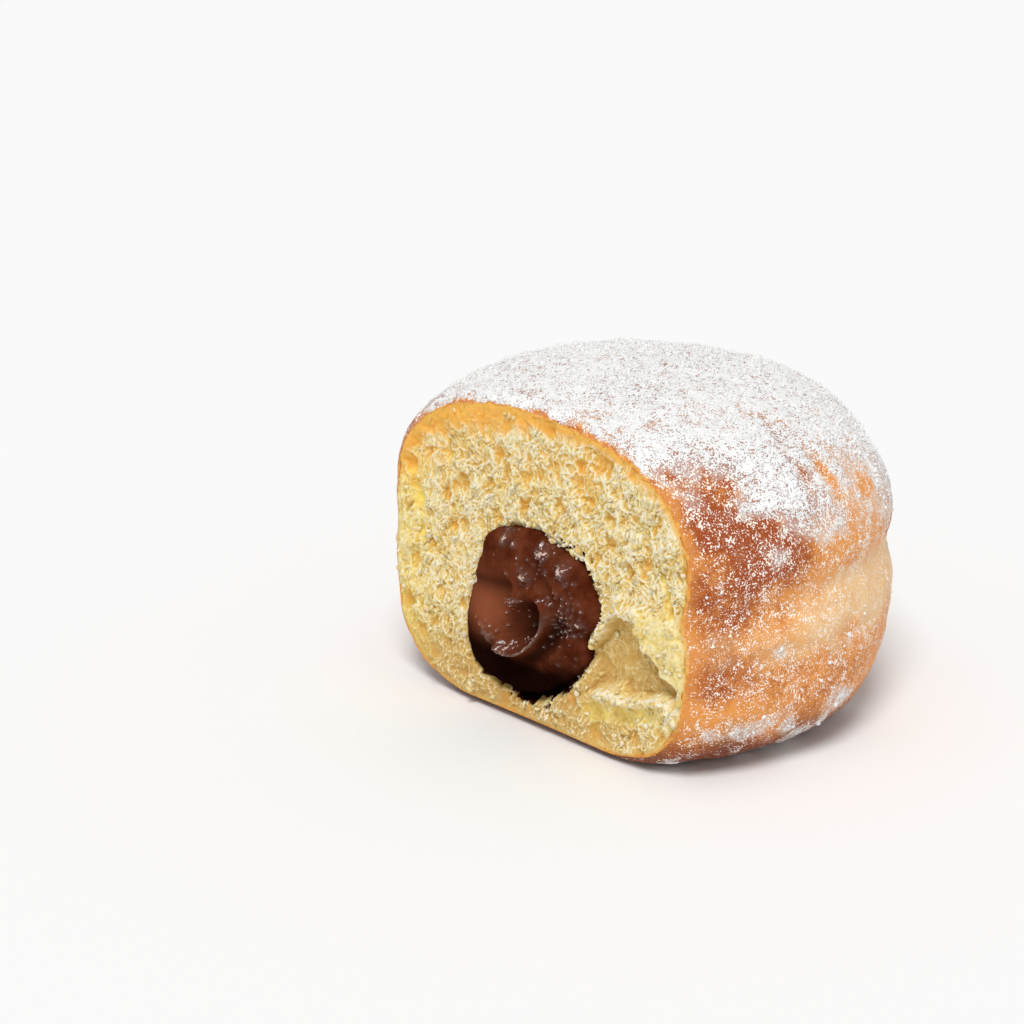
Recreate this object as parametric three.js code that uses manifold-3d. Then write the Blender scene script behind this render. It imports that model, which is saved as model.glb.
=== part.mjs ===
// A filled doughnut with its front sliced off: fried dough, open crumb at the cut, and the
// chocolate cream inside. Millimetres, +Z up. The origin lies on the surface that it rests on,
// under the middle of the whole doughnut, and the cut faces -Y.

import * as THREE from "three";
import { mergeVertices } from "three/addons/utils/BufferGeometryUtils.js";
import Module from "manifold-3d";

const wasm = await Module();
wasm.setup();

// Dough: two superellipse halves that meet at the widest ring, the lower one pressed flat.
const RADIUS = 40;
const WIDEST_HEIGHT = 32;
const CROWN_RISE = 22.5;
const CROWN_POWERS = { across: 2.4, up: 2.6 };
const FOOT_POWERS = { across: 4.6, up: 4.8 };
const PRESSED_FLAT = 1.2;
const DOUGH_SIDES = 68;
const DOUGH_RINGS = 34;

// The pale ring where the doughnut floated in the oil is pinched in, most towards one side.
const WAIST = { height: 27.5, depth: 1.2, shallow: 0.3, deepBearing: 42, halfWidth: 2.8 };
const WAIST_WAVE = { rise: 1.2, waves: 3, phase: 0.6 };

// Broad swellings (positive push) and dents, by compass bearing from +X and height.
const SWELLINGS = [
  { bearing: 50, height: 44, push: -1.6, spread: 9 },
  { bearing: 60, height: 52, push: 0.6, spread: 12 },
  { bearing: 47, height: 36, push: 0.8, spread: 9 },
  { bearing: 47, height: 22, push: 1, spread: 11 },
  { bearing: -18, height: 43, push: -1.1, spread: 6 },
  { bearing: -22, height: 49.5, push: 0.8, spread: 8 },
  { bearing: -8, height: 16, push: -0.6, spread: 5 },
  { bearing: 205, height: 45, push: -0.8, spread: 12 },
  { bearing: 100, height: 20, push: 0.9, spread: 16 },
  { bearing: 150, height: 40, push: 0.8, spread: 14 },
  { bearing: 20, height: 12, push: 0.7, spread: 14 },
];
const CORE_HEIGHT = 27;

// The cut, and the relief of the crumb on it.
const CUT = 21.3;
const CUT_CELL = 1.5;
const CUT_MARGIN = 6;
const PORES = { pitch: 4.4, leastRadius: 1.3, mostRadius: 2.7, leastDepth: 0.4, mostDepth: 1.3, seed: 11 };
const CRUST = { proud: 0.4, smooth: 0.4, crumbFrom: 4 };
const TEAR = { top: [22.8, 34], foot: [31.2, 13.5], depth: 1.5, lip: 1.5, reach: 13 };
const LEDGE = { from: [12.5, 9.4], to: [30, 11.8], rise: 1, halfWidth: 1.5 };

// Cream filling: an oval pocket that runs back from the cut, with a domed face and a piped curl.
const FILLING = { x: -0.8, z: 18.7, radius: 14.4, oval: 1.5, ovalBearing: 48, depth: 34, power: 2.6 };
const FACE = { bulge: 2.2, flatness: 3, rounding: 0.55 };
const CURL = { x: -1.3, z: 18.2, radius: 5.2, lipRise: 1.3, lipWidth: 1.1, lipBearing: -30, hollow: 2.4 };
const CURL_TIP = { x: -2.1, z: 21.8, rise: 1.9, spread: 1.7 };
const DROP = { x: -1.1, z: 25, rise: 0.9, spread: 1.2 };
const FILLING_SIDES = 56;
const FACE_RINGS = 15;
const POCKET_RINGS = 12;
const POCKET_GAP = 0.4;

const DOUGH_COLOUR = 0xd29a55;
const FILLING_COLOUR = 0x4b281b;

const radians = THREE.MathUtils.degToRad;
const bell = (distance, spread) => Math.exp(-((distance / spread) ** 2));

// A closed geometry as a solid that can be joined and cut.
function solidOf(geometry) {
  const bare = geometry.clone();
  bare.deleteAttribute("normal");
  bare.deleteAttribute("uv");
  const merged = mergeVertices(bare);
  const corners = merged.index.array;
  const triVerts = [];
  for (let i = 0; i < corners.length; i += 3) {
    const [a, b, c] = corners.slice(i, i + 3);
    if (a !== b && b !== c && c !== a) triVerts.push(a, b, c);
  }
  return new wasm.Manifold(
    new wasm.Mesh({
      numProp: 3,
      vertProperties: merged.attributes.position.array,
      triVerts: new Uint32Array(triVerts),
    }),
  );
}

function geometryOf(solid) {
  const mesh = solid.getMesh();
  const geometry = new THREE.BufferGeometry();
  geometry.setAttribute("position", new THREE.BufferAttribute(mesh.vertProperties, 3));
  geometry.setIndex(new THREE.BufferAttribute(mesh.triVerts, 1));
  geometry.computeVertexNormals();
  return geometry;
}

// Moves every vertex of a geometry by a function that changes the point it is given.
function reshape(geometry, change) {
  const place = geometry.attributes.position;
  const point = new THREE.Vector3();
  for (let i = 0; i < place.count; i++) {
    change(point.fromBufferAttribute(place, i));
    place.setXYZ(i, point.x, point.y, point.z);
  }
  return geometry;
}

// Half the dough's outline, from the edge of its flat base up to the crown.
function doughOutline() {
  const foot = WIDEST_HEIGHT + PRESSED_FLAT;
  const flatAngle = Math.asin((WIDEST_HEIGHT / foot) ** (FOOT_POWERS.up / 2));
  const across = (angle, powers) => RADIUS * Math.cos(angle) ** (2 / powers.across);
  const fine = 160;
  const points = [];
  for (let i = 0; i < fine; i++) {
    const angle = flatAngle * (1 - i / fine) ** 2;
    const drop = foot * Math.sin(angle) ** (2 / FOOT_POWERS.up);
    points.push(new THREE.Vector2(across(angle, FOOT_POWERS), WIDEST_HEIGHT - drop));
  }
  for (let i = 0; i <= fine; i++) {
    const angle = (Math.PI / 2) * (i / fine) ** 2;
    const rise = CROWN_RISE * Math.sin(angle) ** (2 / CROWN_POWERS.up);
    points.push(new THREE.Vector2(Math.max(0, across(angle, CROWN_POWERS)), WIDEST_HEIGHT + rise));
  }
  const spaced = new THREE.SplineCurve(points).getSpacedPoints(DOUGH_RINGS);
  spaced[0].y = 0;
  spaced[DOUGH_RINGS].x = 0;
  return spaced;
}

// The plain outline's radius at a height, nothing above the crown.
function radiusAt(height, outline) {
  const above = outline.findIndex((p) => p.y >= height);
  if (above < 0) return 0;
  if (above === 0) return outline[0].x;
  const [low, high] = [outline[above - 1], outline[above]];
  return THREE.MathUtils.mapLinear(height, low.y, high.y, low.x, high.x);
}

// How far the waist is pinched in towards a bearing, at a height.
function waistDepth(turn, height) {
  const middle = WAIST.height + WAIST_WAVE.rise * Math.sin(WAIST_WAVE.waves * turn + WAIST_WAVE.phase);
  const towards = 0.5 + 0.5 * Math.cos(turn - radians(WAIST.deepBearing));
  return THREE.MathUtils.lerp(WAIST.shallow, WAIST.depth, towards) * bell(height - middle, WAIST.halfWidth);
}

function wholeDough() {
  const outline = doughOutline();
  const lathe = new THREE.LatheGeometry([new THREE.Vector2(0, 0), ...outline], DOUGH_SIDES);
  lathe.rotateX(Math.PI / 2);
  const core = new THREE.Vector3(0, 0, CORE_HEIGHT);
  const swellings = SWELLINGS.map(({ bearing, height, push, spread }) => {
    const radius = radiusAt(height, outline);
    const turn = radians(bearing);
    const centre = new THREE.Vector3(radius * Math.cos(turn), radius * Math.sin(turn), height);
    return { centre, push, spread };
  });
  const outward = new THREE.Vector3();
  reshape(lathe, (p) => {
    const onBase = p.z < 1e-6;
    const radius = Math.hypot(p.x, p.y);
    if (radius > 0) {
      const pinched = radius - waistDepth(Math.atan2(p.y, p.x), p.z);
      p.x *= pinched / radius;
      p.y *= pinched / radius;
    }
    for (const { centre, push, spread } of swellings) {
      outward.subVectors(p, core).normalize();
      p.addScaledVector(outward, push * bell(p.distanceTo(centre), spread));
    }
    p.z = onBase ? 0 : Math.max(0, p.z);
  });
  return solidOf(lathe);
}

// The open cells of the crumb: round pits on a jittered grid over the cut.
function crumbPores() {
  const random = () => THREE.MathUtils.seededRandom();
  THREE.MathUtils.seededRandom(PORES.seed);
  const pores = [];
  for (let x = -RADIUS; x <= RADIUS; x += PORES.pitch) {
    for (let z = 0; z <= WIDEST_HEIGHT + CROWN_RISE; z += PORES.pitch) {
      pores.push({
        x: x + (random() - 0.5) * PORES.pitch,
        z: z + (random() - 0.5) * PORES.pitch,
        radius: THREE.MathUtils.lerp(PORES.leastRadius, PORES.mostRadius, random()),
        depth: THREE.MathUtils.lerp(PORES.leastDepth, PORES.mostDepth, random()),
      });
    }
  }
  return pores;
}

// How far the crumb stands back from the cut's plane at a point on it: pores, a tear and a ledge,
// all fading out to the smooth crust.
function crumbDepth(x, z, pores, outline) {
  const lean = (radiusAt(z - 1, outline) - radiusAt(z + 1, outline)) / 2;
  const inside = Math.min((radiusAt(z, outline) - Math.hypot(x, CUT)) / Math.hypot(1, lean), z);
  const within = THREE.MathUtils.smoothstep(inside, CRUST.smooth, CRUST.crumbFrom);
  if (within === 0) return 0;
  let depth = CRUST.proud;
  for (const pore of pores) {
    const share = Math.hypot(x - pore.x, z - pore.z) / pore.radius;
    if (share < 1) depth = Math.max(depth, CRUST.proud + pore.depth * (1 - share * share));
  }
  const [topX, topZ] = TEAR.top;
  const [footX, footZ] = TEAR.foot;
  const length = Math.hypot(footX - topX, footZ - topZ);
  const inward = ((topX - x) * (topZ - footZ) + (topZ - z) * (footX - topX)) / length;
  const down = ((x - topX) * (footX - topX) + (z - topZ) * (footZ - topZ)) / length;
  const behindLip = THREE.MathUtils.smoothstep(inward, 0, TEAR.lip);
  const fading = 1 - THREE.MathUtils.smoothstep(inward, TEAR.lip, TEAR.reach);
  const opening = THREE.MathUtils.smoothstep(down, 0, length / 2);
  const closing = 1 - THREE.MathUtils.smoothstep(down, length - 2 * TEAR.lip, length);
  depth += TEAR.depth * behindLip * fading * opening * closing;
  const [fromX, fromZ] = LEDGE.from;
  const [toX, toZ] = LEDGE.to;
  const share = THREE.MathUtils.clamp((x - fromX) / (toX - fromX), 0, 1);
  const ledgeZ = THREE.MathUtils.lerp(fromZ, toZ, share);
  const beyond = Math.max(fromX - x, x - toX, 0);
  return within * (depth - LEDGE.rise * bell(Math.hypot(z - ledgeZ, beyond), LEDGE.halfWidth));
}

// The block that slices the front off, its inner face roughened like the crumb that it leaves.
function slicedFront() {
  const wide = 2 * (RADIUS + CUT_MARGIN);
  const tall = WIDEST_HEIGHT + CROWN_RISE + 2 * CUT_MARGIN;
  const thick = RADIUS + CUT_MARGIN - CUT;
  const cells = (size) => Math.round(size / CUT_CELL);
  const block = new THREE.BoxGeometry(wide, thick, tall, cells(wide), 1, cells(tall));
  block.translate(0, -CUT - thick / 2, tall / 2 - CUT_MARGIN);
  const pores = crumbPores();
  const outline = doughOutline();
  reshape(block, (p) => {
    if (p.y > -CUT - thick / 2) p.y += crumbDepth(p.x, p.z, pores, outline);
  });
  return solidOf(block);
}

// Radius of the filling towards a bearing on the cut, measured from +X towards +Z.
function fillingRadius(turn) {
  return FILLING.radius + FILLING.oval * Math.cos(2 * (turn - radians(FILLING.ovalBearing)));
}

// The filling's sides from the cut to its blind end, as shares of its radius.
function pocketSides(depth) {
  const sides = [];
  for (let i = 0; i <= POCKET_RINGS; i++) {
    const angle = (Math.PI / 2) * (i / POCKET_RINGS);
    const share = Math.max(0, Math.cos(angle)) ** (2 / FILLING.power);
    sides.push(new THREE.Vector2(share, depth * Math.sin(angle) ** (2 / FILLING.power)));
  }
  sides[POCKET_RINGS].x = 0;
  return sides;
}

// Turns a lathed outline of radius shares and depths behind the cut into the oval pocket.
function ovalPocket(outline, growth, onFace) {
  const lathe = new THREE.LatheGeometry(outline, FILLING_SIDES);
  return reshape(lathe, (p) => {
    const turn = Math.atan2(p.z, p.x);
    const radius = Math.hypot(p.x, p.z) * (fillingRadius(turn) + growth);
    const x = FILLING.x + radius * Math.cos(turn);
    const z = FILLING.z + radius * Math.sin(turn);
    const stands = p.y < 0 ? onFace(x, z) : 0;
    p.set(x, -CUT + p.y - stands, z);
  });
}

// The piped curl on the filling's face: a hollow with a crescent lip, its tip and a small drop.
function curlRelief(x, z) {
  const away = Math.hypot(x - CURL.x, z - CURL.z);
  const turn = Math.atan2(z - CURL.z, x - CURL.x);
  const towardsLip = Math.cos(turn - radians(CURL.lipBearing));
  const crescent = THREE.MathUtils.smoothstep(towardsLip, -0.4, 0.3);
  const lip = CURL.lipRise * bell(away - CURL.radius, CURL.lipWidth) * crescent;
  const steep = THREE.MathUtils.lerp(0.1, 0.6, crescent);
  const hollow = CURL.hollow * (1 - THREE.MathUtils.smoothstep(away, steep * CURL.radius, CURL.radius));
  const knob = ({ x: cx, z: cz, rise, spread }) => rise * bell(Math.hypot(x - cx, z - cz), spread);
  return lip - hollow + knob(CURL_TIP) + knob(DROP);
}

function cream() {
  const face = [];
  for (let i = 0; i < FACE_RINGS; i++) {
    const share = i / FACE_RINGS;
    face.push(new THREE.Vector2(share, -FACE.bulge * (1 - share ** FACE.flatness) ** FACE.rounding));
  }
  return solidOf(ovalPocket([...face, ...pocketSides(FILLING.depth)], 0, curlRelief));
}

// The hollow that the cream fills, a little larger all round and open through the cut.
function pocket() {
  const mouth = [new THREE.Vector2(0, -CUT_MARGIN), new THREE.Vector2(1, -CUT_MARGIN)];
  return solidOf(ovalPocket([...mouth, ...pocketSides(FILLING.depth + POCKET_GAP)], POCKET_GAP, () => 0));
}

function piece(name, solid, color, roughness) {
  const material = new THREE.MeshStandardMaterial({ color, roughness, metalness: 0 });
  const mesh = new THREE.Mesh(geometryOf(solid), material);
  mesh.name = name;
  return mesh;
}

const doughnut = new THREE.Group();
doughnut.add(
  piece("dough", wholeDough().subtract(slicedFront()).subtract(pocket()), DOUGH_COLOUR, 0.8),
  piece("chocolate_filling", cream(), FILLING_COLOUR, 0.25),
);

export default doughnut;
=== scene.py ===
"""A filled doughnut, cut open: fried crust, airy crumb, chocolate cream and icing sugar."""

import math

import bpy
import mathutils
import numpy as np
from bpy.props import FloatProperty, FloatVectorProperty, IntProperty, PointerProperty
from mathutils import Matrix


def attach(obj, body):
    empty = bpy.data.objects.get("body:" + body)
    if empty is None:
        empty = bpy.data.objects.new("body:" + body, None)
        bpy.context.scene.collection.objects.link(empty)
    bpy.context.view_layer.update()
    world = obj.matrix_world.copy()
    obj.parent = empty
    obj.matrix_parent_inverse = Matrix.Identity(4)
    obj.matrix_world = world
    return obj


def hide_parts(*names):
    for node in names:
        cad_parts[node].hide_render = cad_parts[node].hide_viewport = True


bl_info = {
    "name": "Filled Doughnut",
    "version": (1, 0, 0),
    "blender": (4, 5, 0),
    "location": "View3D > Sidebar > Doughnut",
    "description": "Dresses a cut, filled doughnut with crust, crumb, cream and icing sugar",
    "category": "Object",
}

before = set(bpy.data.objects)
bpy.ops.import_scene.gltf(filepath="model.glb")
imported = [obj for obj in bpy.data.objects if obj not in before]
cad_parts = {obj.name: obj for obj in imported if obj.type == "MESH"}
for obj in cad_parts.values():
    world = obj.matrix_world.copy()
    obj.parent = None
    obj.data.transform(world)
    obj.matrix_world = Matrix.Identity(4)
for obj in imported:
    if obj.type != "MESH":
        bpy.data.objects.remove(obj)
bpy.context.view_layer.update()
mm = 0.001


def srgb(red, green, blue):
    """A colour given from 0 to 255, as the linear values that shaders use."""
    shares = (red / 255, green / 255, blue / 255)
    return tuple(((c + 0.055) / 1.055) ** 2.4 if c > 0.04 else c / 12.92 for c in shares)


# Sizes and colours


def length(name, default, description):
    """A length property, in metres."""
    return FloatProperty(
        name=name, default=default, description=description, min=0, unit="LENGTH", precision=5
    )


def colour(name, default, description):
    """A colour property."""
    return FloatVectorProperty(
        name=name, default=default, description=description, subtype="COLOR", size=3, min=0, max=1
    )


class DoughSizes(bpy.types.PropertyGroup):
    """The dough's form, its cut and its crust."""

    radius: length("Radius", 40 * mm, "At the widest ring")
    widest: length("Widest height", 32 * mm, "Height of the widest ring above the base")
    crown: length("Crown rise", 22.5 * mm, "Rise of the crown above the widest ring")
    pressed: length("Pressed flat", 1.2 * mm, "How much of the rounded foot is pressed flat")
    cut: length("Cut", 21.3 * mm, "How far in front of the middle the cut lies")
    rim: length("Rim", 0.6 * mm, "Thickness of the crust where it is cut")
    turned: length("Turned edge", 1.2 * mm, "How far the crust is drawn in at the cut")
    recess: length("Recess", 3.6 * mm, "Depth behind the rim that the crumb fills")
    grain: length("Grain", 0.5 * mm, "Size of the crust's mesh cells")
    seed: IntProperty(name="Seed", default=5, description="Draw of the crust's unevenness")


class CrumbSizes(bpy.types.PropertyGroup):
    """The crumb on the cut."""

    grain: length("Grain", 0.16 * mm, "Size of the crumb's mesh cells")
    proud: length("Proud", 0.06 * mm, "How far the crumb stands in front of the rim")
    bit: length("Bit", 0.5 * mm, "Usual size of a loose bit of crumb")
    bits: IntProperty(name="Bits", default=1100, description="Number of loose bits of crumb")
    seed: IntProperty(name="Seed", default=23, description="Draw of the crumb's pores")


class CreamSizes(bpy.types.PropertyGroup):
    """The chocolate cream in its pocket."""

    across: length("Middle X", 0.8 * mm, "How far the pocket lies to the left of the middle")
    height: length("Middle Z", 18.7 * mm, "Height of the pocket's middle")
    radius: length("Radius", 14.4 * mm, "Mean radius of the pocket behind the cut")
    oval: length("Oval", 1.5 * mm, "How much longer the pocket is across its slant")
    depth: length("Depth", 34 * mm, "How far the cream runs back from the cut")
    bulge: length("Bulge", 2.6 * mm, "How far the cream's face bulges out of the cut")
    sag: length("Sag", 1.3 * mm, "How far the cream's face falls short of the crumb low down")
    bubbles: IntProperty(name="Bubbles", default=460, description="Number of bubbles on the face")
    seed: IntProperty(name="Seed", default=3, description="Draw of the cream's bubbles")


class SugarSizes(bpy.types.PropertyGroup):
    """Icing sugar on the crust."""

    clump: length("Clump", 0.42 * mm, "Usual size of a clump of sugar")
    clumps: IntProperty(name="Clumps", default=4200, description="Number of clumps")
    grain: length("Grain", 0.17 * mm, "Usual size of a single grain")
    grains: IntProperty(name="Grains", default=18000, description="Number of single grains")
    seed: IntProperty(name="Seed", default=41, description="Draw of the sugar's places")


class DoughnutColours(bpy.types.PropertyGroup):
    """Colours of the doughnut's surfaces."""

    brown: colour("Brown crust", srgb(160, 73, 27), "Where the crust fried longest")
    # Darker brown round the foot: partly real browning, partly painted shade under the dough
    foot_brown_and_shade: colour("Darkened crust", srgb(104, 46, 22), "Round the foot, where it browned most")
    golden: colour("Golden crust", srgb(235, 156, 78), "Where the crust fried lightly")
    pale: colour("Pale ring", srgb(243, 202, 148), "Where the dough stayed above the oil")
    rim: colour("Cut crust", srgb(224, 146, 72), "The crust's edge at the cut")
    # Lit and shaded copies of the crumb colour: a painted highlight on the high places and painted shade
    # in the pores and creases
    crumb_lit: colour("Crumb, high", srgb(243, 234, 208), "The crumb's torn edges")
    crumb: colour("Crumb", srgb(234, 213, 147), "The crumb's general colour")
    crumb_shaded: colour("Crumb, deep", srgb(218, 174, 84), "Inside the crumb's pores")
    # Painted shade on the crumb low down and in the torn hollow
    crumb_low_shade: colour("Shaded crumb", srgb(196, 160, 104), "Low down and in the torn hollow")
    # Painted light: a glow where light comes through the crumb, in the slit, under the ledge, in the
    # large pores and at the left
    crumb_glow: colour("Crumb, thin", srgb(252, 226, 112), "Where light comes through the crumb")
    crumb_edge: colour("Crumb at the crust", srgb(242, 182, 88), "The crumb next to the crust")
    cream: colour("Cream", srgb(74, 29, 13), "Chocolate cream")
    # Paler cream: aerated in random places, and painted light on the left lobe
    cream_aerated_and_lit: colour("Thin cream", srgb(140, 78, 52), "Chocolate cream where it is aerated")
    # Painted glints: pale specks on the cream's lumps and bubbles stand in for highlights of light
    painted_glint: colour("Cream flecks", srgb(206, 178, 164), "Wet flecks on the cream's lumps and bubbles")
    stain_and_shade: colour("Stain_and_shade", srgb(15, 5, 5), "Crumb soaked with cream")
    # Near-black: cream stain on the crumb, carried past the cream's own colour as painted shade in the
    # gap and pits by the cream, and painted shade on the cream itself
    sugar: colour("Sugar", srgb(245, 245, 244), "Icing sugar")
    thin_sugar: colour("Thin sugar", srgb(253, 243, 231), "Grains with the crust shining through")
    floor: colour("Floor", srgb(250, 250, 250), "The floor")


class StageSizes(bpy.types.PropertyGroup):
    """Camera, floor and light."""

    azimuth: FloatProperty(
        name="Azimuth", default=math.radians(47.367), subtype="ANGLE", description="Camera's turn"
    )
    elevation: FloatProperty(
        name="Elevation", default=math.radians(19.251), subtype="ANGLE", description="Camera's rise"
    )
    place: FloatVectorProperty(
        name="Camera place",
        default=(316.685 * mm, -317.646 * mm, 187.365 * mm),
        subtype="TRANSLATION",
        unit="LENGTH",
        description="Where the camera stands",
    )
    lens: FloatProperty(name="Lens", default=105.47, description="Focal length in mm", min=10)
    floor: length("Floor", 6.0, "Side of the floor")
    key: FloatProperty(name="Key light", default=1.9, description="Strength of the soft light")
    key_from: FloatVectorProperty(
        name="Key from", default=(0.36, -0.44, 0.85), description="Where the soft light comes from"
    )
    key_width: FloatProperty(
        name="Key width", default=math.radians(22), subtype="ANGLE", description="Its softness"
    )
    fill: FloatProperty(name="Fill", default=0.5, description="Strength of the light all round")


# Noise, all of it drawn from a seed


def lattice(seed, *steps):
    """A random number from 0 to 1 for each point of a whole-number lattice."""
    mixed = np.full(steps[0].shape, (seed * 2654435761 + 97) % 2**32, np.uint32)
    for step, factor in zip(steps, (374761393, 668265263, 2246822519)):
        mixed = mixed + step.astype(np.uint32) * np.uint32(factor)
        mixed = (mixed ^ (mixed >> np.uint32(13))) * np.uint32(1274126177)
    return (mixed ^ (mixed >> np.uint32(16))) / 2.0**32


def soft_noise(seed, pitch, *places):
    """Smooth noise from -1 to 1, with bumps about one pitch apart."""
    steps = [np.floor(p / pitch).astype(np.int64) for p in places]
    parts = [p / pitch - s for p, s in zip(places, steps)]
    parts = [t * t * t * (t * (t * 6 - 15) + 10) for t in parts]
    total = np.zeros(places[0].shape)
    for corner in np.ndindex(*(2,) * len(places)):
        weight = np.ones(places[0].shape)
        for near, part in zip(corner, parts):
            weight = weight * (part if near else 1 - part)
        total += weight * lattice(seed, *[s + near for s, near in zip(steps, corner)])
    return 2 * total - 1


def layered_noise(seed, pitch, layers, *places):
    """Smooth noise with finer layers added, each half the pitch and strength of the last."""
    total = np.zeros(places[0].shape)
    for layer in range(layers):
        total += 0.5**layer * soft_noise(seed + layer, pitch * 0.5**layer, *places)
    return total


def cells(seed, pitch, x, z):
    """Distance to the nearest cell middle, in pitches, and a number for each cell."""
    u, v = x / pitch, z / pitch
    column, row = np.floor(u).astype(np.int64), np.floor(v).astype(np.int64)
    nearest = np.full(u.shape, 9.0)
    number = np.zeros(u.shape)
    for right in (-1, 0, 1):
        for up in (-1, 0, 1):
            c, r = column + right, row + up
            away = np.hypot(u - c - lattice(seed, c, r), v - r - lattice(seed + 1, c, r))
            number = np.where(away < nearest, lattice(seed + 2, c, r), number)
            nearest = np.minimum(nearest, away)
    return nearest, number


def ease(value, low, high):
    """0 below low, 1 above high, smooth between."""
    share = np.clip((value - low) / (high - low), 0, 1)
    return share * share * (3 - 2 * share)


def bell(distance, spread):
    """1 at no distance, falling off over the spread."""
    return np.exp(-((distance / spread) ** 2))


def to_segment(x, z, start, end):
    """Distance from points to a straight stretch."""
    along = np.array(end) - np.array(start)
    share = ((x - start[0]) * along[0] + (z - start[1]) * along[1]) / (along @ along)
    share = np.clip(share, 0, 1)
    return np.hypot(x - start[0] - share * along[0], z - start[1] - share * along[1])


# Meshes


def alone(obj):
    """Makes this the only selected object, and the active one."""
    bpy.ops.object.select_all(action="DESELECT")
    obj.hide_set(False)
    obj.select_set(True)
    bpy.context.view_layer.objects.active = obj


def rows_of(items, key):
    """The vectors that a mesh's items hold under a key, as rows of three."""
    flat = np.empty(len(items) * 3, np.float32)
    items.foreach_get(key, flat)
    return flat.reshape(-1, 3)


def points_of(obj):
    """The mesh's points as an array, in metres."""
    return rows_of(obj.data.vertices, "co").astype(float)


def place_points(obj, points):
    """Moves the mesh's points."""
    obj.data.vertices.foreach_set("co", np.ascontiguousarray(points, np.float32).ravel())
    obj.data.update()


def normals_of(obj):
    """The mesh's point normals as an array."""
    return rows_of(obj.data.vertex_normals, "vector").astype(float)


def hollows_of(obj):
    """How far the neighbours of each point rise above it, as a share of their distance."""
    ends = np.empty(2 * len(obj.data.edges), np.int32)
    obj.data.edges.foreach_get("vertices", ends)
    near, far = ends.reshape(-1, 2).T
    points, normals = points_of(obj), normals_of(obj)
    step = points[far] - points[near]
    step /= np.linalg.norm(step, axis=1, keepdims=True) + 1e-9
    rise = np.bincount(near, (normals[near] * step).sum(1), len(points))
    rise -= np.bincount(far, (normals[far] * step).sum(1), len(points))
    return rise / np.maximum(np.bincount(ends, minlength=len(points)), 1)


def mark(obj, name, values):
    """Stores a number from 0 to 1 at each point, for the materials."""
    found = obj.data.attributes.get(name) or obj.data.attributes.new(name, "FLOAT", "POINT")
    found.data.foreach_set("value", np.clip(values, 0, 1).astype(np.float32))


def marks_of(obj, name):
    """The numbers stored at the points."""
    values = np.empty(len(obj.data.vertices), np.float32)
    obj.data.attributes[name].data.foreach_get("value", values)
    return values.astype(float)


def pick_points(obj, chosen):
    """Selects points, ready for edit mode."""
    mesh = obj.data
    mesh.polygons.foreach_set("select", np.zeros(len(mesh.polygons), bool))
    mesh.edges.foreach_set("select", np.zeros(len(mesh.edges), bool))
    mesh.vertices.foreach_set("select", np.asarray(chosen, bool))


def close_edit():
    """Turns the edited mesh's faces outwards, and leaves edit mode."""
    bpy.ops.mesh.select_all(action="SELECT")
    bpy.ops.mesh.normals_make_consistent(inside=False)
    bpy.ops.object.mode_set(mode="OBJECT")


def apply_modifier(obj, kind, **settings):
    """Adds a modifier with these settings and applies it."""
    alone(obj)
    modifier = obj.modifiers.new(kind.lower(), kind)
    for key, value in settings.items():
        setattr(modifier, key, value)
    bpy.ops.object.modifier_apply(modifier=modifier.name)


def finish_piece(obj, slot, *nodes):
    """Smooths the piece and lets it ride with the dough."""
    alone(obj)
    bpy.ops.object.shade_smooth()
    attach(obj, "root")
    if nodes:
        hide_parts(*nodes)
    if not obj.data.polygons:
        raise RuntimeError(f"{obj.name} came out empty")


def joined_mesh(name, points, faces):
    """One mesh object from arrays of points and triangles."""
    mesh = bpy.data.meshes.new(name)
    mesh.vertices.add(len(points))
    mesh.vertices.foreach_set("co", points.astype(np.float32).ravel())
    mesh.loops.add(faces.size)
    mesh.loops.foreach_set("vertex_index", faces.astype(np.int32).ravel())
    mesh.polygons.add(len(faces))
    mesh.polygons.foreach_set("loop_start", np.arange(0, faces.size, 3, dtype=np.int32))
    mesh.update(calc_edges=True)
    mesh.validate()
    obj = bpy.data.objects.new(name, mesh)
    bpy.context.collection.objects.link(obj)
    return obj


def spots_on(obj, weights, count, draw):
    """Random places on a mesh, likelier where the points' weights are higher, with normals."""
    mesh = obj.data
    mesh.calc_loop_triangles()
    corners = np.empty(len(mesh.loop_triangles) * 3, np.int32)
    mesh.loop_triangles.foreach_get("vertices", corners)
    # sorted, because edited faces don't come in the same order each run
    corners = np.sort(corners.reshape(-1, 3), axis=1)
    corners = corners[np.lexsort(corners.T)]
    points, normals = points_of(obj), normals_of(obj)
    a, b, c = (points[corners[:, i]] for i in range(3))
    chance = np.linalg.norm(np.cross(b - a, c - a), axis=1) * weights[corners].mean(1)
    chosen = draw.choice(len(corners), count, p=chance / chance.sum())
    u, v = draw.random((2, count))
    over = u + v > 1
    u[over], v[over] = 1 - u[over], 1 - v[over]
    shares = np.stack([1 - u - v, u, v], 1)[:, :, None]
    where = (points[corners[chosen]] * shares).sum(1)
    facing = (normals[corners[chosen]] * shares).sum(1)
    return where, facing / np.linalg.norm(facing, axis=1, keepdims=True)


def turned_to(facing, draw):
    """Frames (tangent, side, normal) that stand on a normal, with a random turn."""
    helper = draw.normal(size=facing.shape)
    tangent = np.cross(facing, helper)
    tangent /= np.linalg.norm(tangent, axis=1, keepdims=True)
    return tangent, np.cross(facing, tangent), facing


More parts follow.
